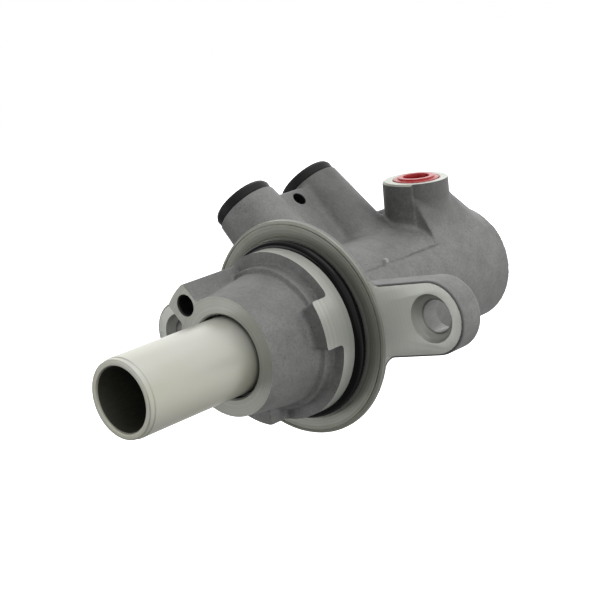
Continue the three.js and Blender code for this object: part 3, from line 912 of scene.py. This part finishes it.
def nose_cutter():
    """Faces the nose and opens its mouth."""
    front, side, floor = NOSE_Y - 8, 34, NOSE_Y + MOUTH_DEPTH
    outline = [(0, front), (side, front), (side, NOSE_Y), (MOUTH_R + 0.5, NOSE_Y)]
    outline += [(MOUTH_R, NOSE_Y + 0.5), (MOUTH_R, floor), (0, floor)]
    cutter = turned("nose_cutter", outline, NOSE_FACE)
    cutter.data.materials.append(BORE)
    for face in cutter.data.polygons:
        face.material_index = reach_mm(face) < MOUTH_R + 0.1
    return cutter


def bore_cutter():
    """The bore with the grooves of its seals and rings."""
    outline = [(0, NOSE_Y), (BORE_R, NOSE_Y)]
    for front, back, radius in GROOVES:
        outline += [(BORE_R, front), (radius, front), (radius, back), (BORE_R, back)]
    outline += [(BORE_R, BORE_END_Y), (0, BORE_END_Y)]
    return turned("bore_cutter", outline, BORE)


def ear_cutter(side):
    """The dished seat and the stud hole of one ear."""
    floor = EAR_FRONT_Y + EAR_SEAT_DEPTH
    outline = [
        (0, -SPARE),
        (EAR_SEAT_R + 0.15, -SPARE),
        (EAR_SEAT_R + 0.15, EAR_FRONT_Y),
        (EAR_SEAT_R - 0.05, EAR_FRONT_Y + 0.3),
        (EAR_SEAT_R - 0.35, floor - 0.9),
        (EAR_SEAT_R - 0.8, floor - 0.35),
        (EAR_SEAT_R - 1.5, floor),
        (EAR_HOLE_R + 0.35, floor + 0.35),
        (EAR_HOLE_R, floor + 0.8),
        (EAR_HOLE_R, EAR_BACK_Y - 0.4),
        (EAR_HOLE_R + 0.5, EAR_BACK_Y + 0.1),
        (EAR_HOLE_R + 0.5, EAR_BACK_Y + SPARE),
        (0, EAR_BACK_Y + SPARE),
    ]
    centre = (side * EAR_DISTANCE, 0, 0)
    skin = machined_skin("ear_seat", (0.34, 0.345, 0.32), centre, contrast=0.5, metallic=0.45)
    cutter = turned("ear_cutter", outline, skin, shift(*centre), 96)
    cutter.data.materials.append(DRILLED)
    for face in cutter.data.polygons:
        face.material_index = reach_mm(face, centre[0]) < EAR_HOLE_R + 0.3
    return cutter


def port_cutter(y):
    """Faces a reservoir port, and bores its grommet seat and its passage to the bore."""
    floor = PORT_TOP - PORT_SEAT_DEPTH
    outline = [
        (0, PORT_TOP + 12),
        (15, PORT_TOP + 12),
        (15, PORT_TOP),
        (PORT_SEAT_R + 0.5, PORT_TOP),
        (PORT_SEAT_R, PORT_TOP - 0.5),
        (PORT_SEAT_R, floor),
        (PORT_BORE_R, floor),
        (PORT_BORE_R, PORT_BORE_BOTTOM),
        (PASSAGE_R, PORT_BORE_BOTTOM - 0.8),
        (PASSAGE_R, PASSAGE_FOOT),
        (0, PASSAGE_FOOT),
    ]
    out = direction(PORT_ANGLE)
    centre = (0, y, 0)
    skin = machined_skin("port_face", (0.4, 0.41, 0.38), centre, tuple(out))
    return turned("port_cutter", outline, skin, spoke(PORT_ANGLE, y), 96)


def outlet_cutter(angle, y):
    """Faces an outlet boss, and bores its seat, its hole and its passage to the bore."""
    outline = [
        (0, OUTLET_TOP + 12),
        (15, OUTLET_TOP + 12),
        (15, OUTLET_TOP - 0.6),
        (OUTLET_R + 0.55, OUTLET_TOP - 0.5),
        (OUTLET_R, OUTLET_TOP),
        (OUTLET_SEAT_R + 0.3, OUTLET_TOP),
        (OUTLET_SEAT_R, OUTLET_TOP - 0.3),
        (OUTLET_SEAT_R, OUTLET_TOP - 1),
        (OUTLET_BORE_R, OUTLET_TOP - 1),
        (OUTLET_BORE_R, OUTLET_BORE_BOTTOM + 2),
        (PASSAGE_R, OUTLET_BORE_BOTTOM),
        (PASSAGE_R, PASSAGE_FOOT),
        (0, PASSAGE_FOOT),
    ]
    skin = machined_skin("outlet_face", (0.4, 0.41, 0.38), (0, y, 0), tuple(direction(angle)))
    return turned("outlet_cutter", outline, skin, spoke(angle, y), 128)


def channel_cutter():
    """The feed channel drilled from the nose's face, with a drill's pointed end."""
    out = direction(PORT_ANGLE) * CHANNEL_DISTANCE
    front, edge_r = NOSE_Y - SPARE, CHANNEL_R + 0.35
    outline = [(0, front), (edge_r, front), (edge_r, NOSE_Y), (CHANNEL_R, NOSE_Y + 0.4)]
    outline += [(CHANNEL_R, CHANNEL_END_Y), (0, CHANNEL_END_Y + 1.1)]
    return turned("channel_cutter", outline, BORE, shift(out.x, 0, out.z), 64)


def pin_cutter():
    """The locking pin's hole through the web, with a small chamfer at both ends."""
    end, chamfer = -WEB_HALF - SPARE, 0.15
    outline = [(0, end), (PIN_HOLE_R + chamfer, end)]
    outline += [(PIN_HOLE_R + chamfer, -WEB_HALF), (PIN_HOLE_R, -WEB_HALF + chamfer)]
    outline += [(r, -s) for r, s in outline[::-1]]
    across = Matrix.Rotation(math.radians(90), 4, "X")
    place = spoke(PORT_ANGLE, PIN_HOLE_Y) @ shift(0, PIN_HOLE_H, 0) @ across
    return turned("pin_cutter", outline, BORE, place, 64)


def cylinder_body():
    f = Field(VOXEL)
    verts, faces = f.surface(casting_field(f))
    body = new_object("body_casting", verts * MM, faces.tolist(), [CAST])
    cutters = [flange_cutter(), nose_cutter(), bore_cutter(), channel_cutter(), pin_cutter()]
    cutters += [ear_cutter(side) for side in (-1, 1)]
    cutters += [port_cutter(y) for y in PORTS.values()]
    cutters += [outlet_cutter(angle, y) for angle, y in OUTLETS.values()]
    cut_all(body, cutters)
    smooth(body, 30)
    return body


# ---------------- pistons and seals


def primary_tube():
    """Hollow primary piston: open socket in front, spring pocket behind."""
    low, high = (corner.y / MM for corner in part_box("primary_piston"))
    outline = rounded([
        (0, TUBE_FLOOR_FRONT_Y),
        (SOCKET_R - 0.6, TUBE_FLOOR_FRONT_Y, 0.4),
        (SOCKET_R, TUBE_FLOOR_FRONT_Y - 0.8),
        (SOCKET_R, low + 0.6),
        (9.9, low, 0.15),
        (PISTON_R - 0.3, low, 0.45),
        (PISTON_R - 0.25, low + 1.5, 0.3),
        (PISTON_R, low + 1.9, 0.25),
        (PISTON_R, high, 0.6),
        (POCKET_R, high, 0.2),
        (POCKET_R, TUBE_FLOOR_BACK_Y, 0.8),
        (0, TUBE_FLOOR_BACK_Y),
    ])
    tube = turned("primary_piston_tube", outline, PISTON)
    tube.data.materials.append(SOCKET)
    for face in tube.data.polygons:
        in_socket = low + 0.6 < face.center.y / MM < TUBE_FLOOR_BACK_Y
        face.material_index = in_socket and reach_mm(face) < SOCKET_R + 0.02
    return tube


def secondary_cup():
    """Secondary piston: a stem in front, a spring pocket behind."""
    low, high = (corner.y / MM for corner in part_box("secondary_piston"))
    outline = rounded([
        (0, 28.5),
        (4.4, 28.5, 0.3),
        (4.4, low, 0.3),
        (PISTON_R, low, 0.6),
        (PISTON_R, high, 0.6),
        (POCKET_R, high, 0.3),
        (POCKET_R, 33, 1),
        (0, 33),
    ])
    return turned("secondary_piston_cup", outline, PISTON)


def pushrod_seat():
    low, high = (corner.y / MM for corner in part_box("pushrod_seat"))
    outline = rounded([
        (0, low + 1.7),
        (3.4, low + 1.2, 2),
        (5.4, low, 0.3),
        (9.0, low, 0.5),
        (9.0, high, 0.5),
        (0, high),
    ])
    return turned("pushrod_seat_disc", outline, STEEL)


def cup_seal(node, facing):
    """U-cup seal with two soft lips, facing the closed end (+1) or the open end (-1)."""
    low, high = (corner.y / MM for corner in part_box(node))
    heel, lip = (low, high) if facing > 0 else (high, low)
    root = heel + facing * 1.5
    outline = rounded([
        (12.35, heel, 0.3),
        (15.1, heel, 0.3),
        (15.35, lip, 0.25),
        (14.6, lip, 0.25),
        (13.9, root, 0.3),
        (13.5, root, 0.3),
        (12.85, lip, 0.25),
        (12.15, lip, 0.25),
    ])
    return turned(node + "_cup", outline, SEAL, segments=96)


def ring_section(inner, outer, low, high, radius):
    return rounded([(r, y, radius) for r, y in (
        (inner, low),
        (outer, low),
        (outer, high),
        (inner, high),
    )])


def flat_ring(node, name, inner, outer, material):
    low, high = (corner.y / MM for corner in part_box(node))
    return turned(name, ring_section(inner, outer, low, high, 0.15), material, segments=96)


def swept(name, rows, material, angle=32):
    """Solid through a row of equal sections, closed at both ends."""
    n = len(rows[0])
    verts = [tuple(c * MM for c in point) for row in rows for point in row]
    faces = []
    for start in range(0, len(verts) - n, n):
        for i in range(n):
            j = (i + 1) % n
            faces.append((start + i, start + j, start + n + j, start + n + i))
    faces += [tuple(range(n)), tuple(range(len(verts) - n, len(verts)))]
    obj = new_object(name, verts, faces, [material])
    face_outwards(obj.data)
    smooth(obj, angle)
    return obj


def split_ring(node, name, inner, outer, gap_degrees, material):
    """Spring ring with a gap and rounded ends, as one swept band."""
    low, high = (corner.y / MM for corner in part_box(node))
    section = ring_section(inner, outer, low, high, 0.3)
    start = CIRCLIP_GAP_MIDDLE + gap_degrees / 2
    end = CIRCLIP_GAP_MIDDLE + 360 - gap_degrees / 2
    rows, steps = [], 96
    for k in range(steps + 1):
        a = math.radians(start + (end - start) * k / steps)
        rows.append([(r * math.cos(a), y, r * math.sin(a)) for r, y in section])
    return swept(name, rows, material)


def o_ring():
    steps = 24
    section = [
        (
            O_RING_R + O_RING_WIRE_R * math.cos(2 * math.pi * k / steps),
            O_RING_Y + O_RING_WIRE_R * math.sin(2 * math.pi * k / steps),
        )
        for k in range(steps)
    ]
    return turned("spigot_o_ring_cord", section, O_RING)


def grommet(name, y):
    """Rubber bush in a reservoir port: soft collar outside, ribbed mouth inside."""
    inner, groove = 5.2, 5.6
    corners = [
        (inner, 35.8, 0.4),
        (7.7, 35.8, 0.4),
        (7.9, PORT_TOP + 0.3),
        (9.95, PORT_TOP + 0.3, 0.3),
        (10.1, PORT_TOP + 2.6, 0.5),
        (9.5, PORT_TOP + 3.7, 0.6),
        (6.7, PORT_TOP + 3.7, 0.4),
        (groove, PORT_TOP + 2.5, 0.4),
        (inner, PORT_TOP + 1.4, 0.3),
    ]
    for middle in (41.4, 38.6):
        corners += [
            (inner, middle + 0.8, 0.2),
            (groove, middle + 0.4, 0.2),
            (groove, middle - 0.4, 0.2),
            (inner, middle - 0.8, 0.2),
        ]
    return turned(name, rounded(corners), GROMMET, spoke(PORT_ANGLE, y), 128)


def transit_plug(name, angle, y):
    """Push-in plug: stepped collar, hollow stem, closed bottom."""
    top = OUTLET_TOP
    outline = rounded([
        (0, 24),
        (4.9, 24, 0.6),
        (5.7, 25.2, 0.4),
        (5.8, top - 0.7),
        (7.45, top - 0.7, 0.2),
        (7.45, top + 0.15, 0.2),
        (6.15, top + 0.25, 0.15),
        (6.05, top + 0.8, 0.25),
        (4.35, top + 0.8, 0.3),
        (4.2, top - 0.2, 0.3),
        (4.0, 26, 0.6),
        (0, 26),
    ])
    return turned(name, outline, PLUG, spoke(angle, y), 128)


def channel_ball():
    """The ball pressed into the feed channel."""
    out = direction(PORT_ANGLE) * CHANNEL_DISTANCE
    radius, steps = CHANNEL_R - 0.1, 24
    outline = [
        (
            radius * math.sin(math.pi * k / steps),
            CHANNEL_BALL_Y - radius * math.cos(math.pi * k / steps),
        )
        for k in range(steps + 1)
    ]
    outline[0], outline[-1] = (0, outline[0][1]), (0, outline[-1][1])
    return turned("feed_channel_ball", outline, STEEL, shift(out.x, 0, out.z), 48)


def spring(name, node, radius, wire, turns):
    """Round-wire spring with its end coils closed."""
    low, high = (corner.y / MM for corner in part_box(node))
    low, high = low + wire, high - wire
    steps, sides = int(turns * 40), 14
    closed = wire * 2.1
    free = (high - low - 2 * closed) / (turns - 2)
    rows = []
    for k in range(steps + 1):
        turn = turns * k / steps
        y = low + min(turn, 1) * closed
        y += min(max(turn - 1, 0), turns - 2) * free
        y += max(turn - (turns - 1), 0) * closed
        a = 2 * math.pi * turn
        row = []
        for i in range(sides):
            b = 2 * math.pi * i / sides
            r = radius + wire * math.cos(b)
            row.append((r * math.cos(a), y + wire * math.sin(b), r * math.sin(a)))
        rows.append(row)
    return swept(name, rows, WIRE, 40)


def spring_cup():
    outline = [(2.2, -14.8, 0.2), (8.8, -14.8, 0.6), (8.8, -11, 0.15), (8.4, -11, 0.15)]
    outline += [(8.4, -13.8, 0.4), (2.2, -13.8, 0.2)]
    return turned("primary_spring_cup_pressing", rounded(outline), STEEL, segments=96)


def captive_pin():
    outline = [(0, -13.5), (3.2, -13.5, 0.3), (3.2, -12.3, 0.3), (1.7, -12.3, 0.3)]
    outline += [(1.7, 6.7, 0.2), (3.3, 6.7, 0.3), (3.3, 9.1, 0.6), (0, 9.1)]
    return turned("captive_pin_turned", rounded(outline), STEEL, segments=64)


def captive_sleeve():
    outline = [(2.1, 5, 0.2), (4.6, 5, 0.7), (4.6, 20.5, 0.4), (8.6, 20.5, 0.3)]
    outline += [(8.6, 21.7, 0.3), (3.7, 21.7, 0.5), (3.7, 6.4, 0.3), (2.1, 6.4, 0.2)]
    return turned("captive_sleeve_pressing", rounded(outline), STEEL, segments=96)


def spring_guide():
    outline = [(0, 68), (4.2, 68, 0.5), (5, 69.2, 0.5), (5, 77.6, 0.6), (8.6, 77.6, 0.3)]
    outline += [(8.6, 78.7, 0.3), (0, 78.7)]
    return turned("secondary_spring_guide_moulding", rounded(outline), NYLON, segments=96)


# ---------------- putting the pieces on the frame

HOUSING, PRIMARY, SECONDARY = "housing", "primary_piston_group", "secondary_piston_group"

CASTING_NODES = [
    "cylinder_body",
    "right_mounting_ear",
    "left_mounting_ear",
    "front_reservoir_port",
    "rear_reservoir_port",
]


def place(piece, body, nodes, slot):
    """Puts a piece on its body, in the place of one CAD node or a list of them."""
    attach(piece, body)
    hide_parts(*([nodes] if isinstance(nodes, str) else nodes))


place(cylinder_body(), HOUSING, CASTING_NODES, "cast_aluminium")
place(o_ring(), HOUSING, "spigot_o_ring", "o_ring_rubber")
# The circlip is dark spring steel; its dark colour also paints the shade in the gap round the tube
# at the nose's mouth.
ring = split_ring("retaining_circlip", "retaining_circlip_ring", 12.4, 14.4, CIRCLIP_GAP, WIRE)
place(ring, HOUSING, "retaining_circlip", "spring_steel")
ring = flat_ring("piston_guide_ring", "piston_guide_band", 12.2, 13.7, NYLON)
place(ring, HOUSING, "piston_guide_ring", "guide_plastic")
for node in ("primary_backup_ring", "secondary_backup_ring"):
    place(flat_ring(node, node + "_flat", 12.3, 15.3, NYLON), HOUSING, node, "guide_plastic")
for node, facing in (
    ("vacuum_seal", 1),
    ("primary_pressure_seal", 1),
    ("separating_seal", -1),
    ("secondary_pressure_seal", 1),
):
    place(cup_seal(node, facing), HOUSING, node, "seal_rubber")
place(spring_guide(), HOUSING, "secondary_spring_guide", "guide_plastic")
place(channel_ball(), HOUSING, "feed_channel_plug", "bright_steel")
for side, y in PORTS.items():
    node = side + "_reservoir_grommet"
    place(grommet(node + "_bush", y), HOUSING, node, "grommet_rubber")
for side, (angle, y) in OUTLETS.items():
    node = side + "_outlet_plug"
    place(transit_plug(node + "_moulding", angle, y), HOUSING, node, "plug_plastic")

place(primary_tube(), PRIMARY, "primary_piston", "anodised_piston")
place(pushrod_seat(), PRIMARY, "pushrod_seat", "bright_steel")
place(spring_cup(), PRIMARY, "primary_spring_cup", "bright_steel")
place(captive_pin(), PRIMARY, "captive_pin", "bright_steel")
place(secondary_cup(), SECONDARY, "secondary_piston", "anodised_piston")
place(captive_sleeve(), SECONDARY, "captive_sleeve", "bright_steel")

coil = spring("primary_spring_coil", "primary_return_spring", 7.0, SPRING_WIRE_R, 6.5)
place(coil, PRIMARY, "primary_return_spring", "spring_steel")
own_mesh(coil)
coil = spring("secondary_spring_coil", "secondary_return_spring", 7.2, SPRING_WIRE_R, 8.0)
place(coil, SECONDARY, "secondary_return_spring", "spring_steel")
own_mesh(coil)

# ---------------- stage, light and camera

scene = bpy.context.scene
scene.view_settings.view_transform = "Standard"


def stage_floor():
    """Large pale floor, well below the part. Only the camera sees it, so it adds no light."""
    low, size = cad_box[0].z - 0.1, 12.0
    corners = [(-size, -size, low), (size, -size, low), (size, size, low), (-size, size, low)]
    s = Shading("pale_floor", (0.9, 0.9, 0.9), 0.0, 0.9, Specular_IOR_Level=0.0)
    s.bsdf.inputs["Emission Color"].default_value = (1, 1, 1, 1)
    s.bsdf.inputs["Emission Strength"].default_value = 0.88
    floor = new_object("floor", corners, [(0, 1, 2, 3)], [s.material])
    floor.visible_diffuse = False
    floor.visible_glossy = False
    floor.visible_shadow = False


# Glows of the studio: the direction to the light, then the cosines to it at which the light starts
# and is full, then how much it is.
GLOWS = [
    ((0, 0, 1), -1.5, -1.1, 0.19),  # even fill from all round
    ((0.64, 0.62, 0.45), -0.6, 0.9, 1.05),  # wide, from the right rear and above
    ((-0.68, 0.72, 0.2), 0.6, 0.95, 1.2),  # left rear
    ((-0.6, -0.8, 0.12), 0.9, 0.97, 1.9),  # narrow, left front
    ((0.45, -0.88, 0.15), 0.85, 0.97, 0.4),  # narrow, right front
]


def studio_world():
    """Soft light round the part: a sum of glows over directions; white to the camera."""
    world = bpy.data.worlds.new("studio")
    scene.world = world
    world.use_nodes = True
    w = Nodes(world.node_tree, "Generated")
    white = (1, 1, 1, 1)
    light = w.tree.nodes["Background"]
    w.link(white, light.inputs["Color"])
    backdrop = w.node("ShaderNodeBackground", {"Color": white})
    path = w.node("ShaderNodeLightPath")
    mix = w.node("ShaderNodeMixShader", {
        "Fac": path.outputs["Is Camera Ray"],
        1: light.outputs[0],
        2: backdrop.outputs[0],
    })
    w.link(mix.outputs[0], w.tree.nodes["World Output"].inputs["Surface"])
    strength = 0.0
    for toward, start, end, amount in GLOWS:
        cosine = w.vector("DOT_PRODUCT", w.coords, Vector(toward).normalized(), output="Value")
        strength = w.math("ADD", w.span(cosine, start, end, 0.0, amount, "SMOOTHSTEP"), strength)
    w.link(strength, light.inputs["Strength"])


def soft_light(name, place, target, size, power):
    """Square area light at a place, turned to a target; metres and watts."""
    data = bpy.data.lights.new(name, "AREA")
    data.size = size
    data.energy = power
    light = bpy.data.objects.new(name, data)
    light.location = place
    aim = Vector(target) - Vector(place)
    light.rotation_euler = aim.to_track_quat("-Z", "Y").to_euler()
    scene.collection.objects.link(light)


def photo_camera():
    """The photograph's camera: 3/4 view from the open end, a little from above and tilted."""
    right = Vector((0.72876693, 0.64981651, -0.21595663))
    up = Vector((0.05855259, 0.2550845, 0.96514429))
    back = Vector((0.68225388, -0.71601006, 0.14784871))
    data = bpy.data.cameras.new("camera")
    data.lens = 102.61
    data.sensor_width = 36
    data.clip_start = 0.01
    data.clip_end = 30
    camera = bpy.data.objects.new("camera", data)
    matrix = Matrix((right, up, back)).transposed().to_4x4()
    matrix.translation = Vector((356.06, -369.44, 84.92)) * MM
    camera.matrix_world = matrix
    scene.collection.objects.link(camera)
    scene.camera = camera


stage_floor()
studio_world()
soft_light("key", (0.25, 0.1, 0.8), (0, 0, 0), 0.6, 1.2)
photo_camera()
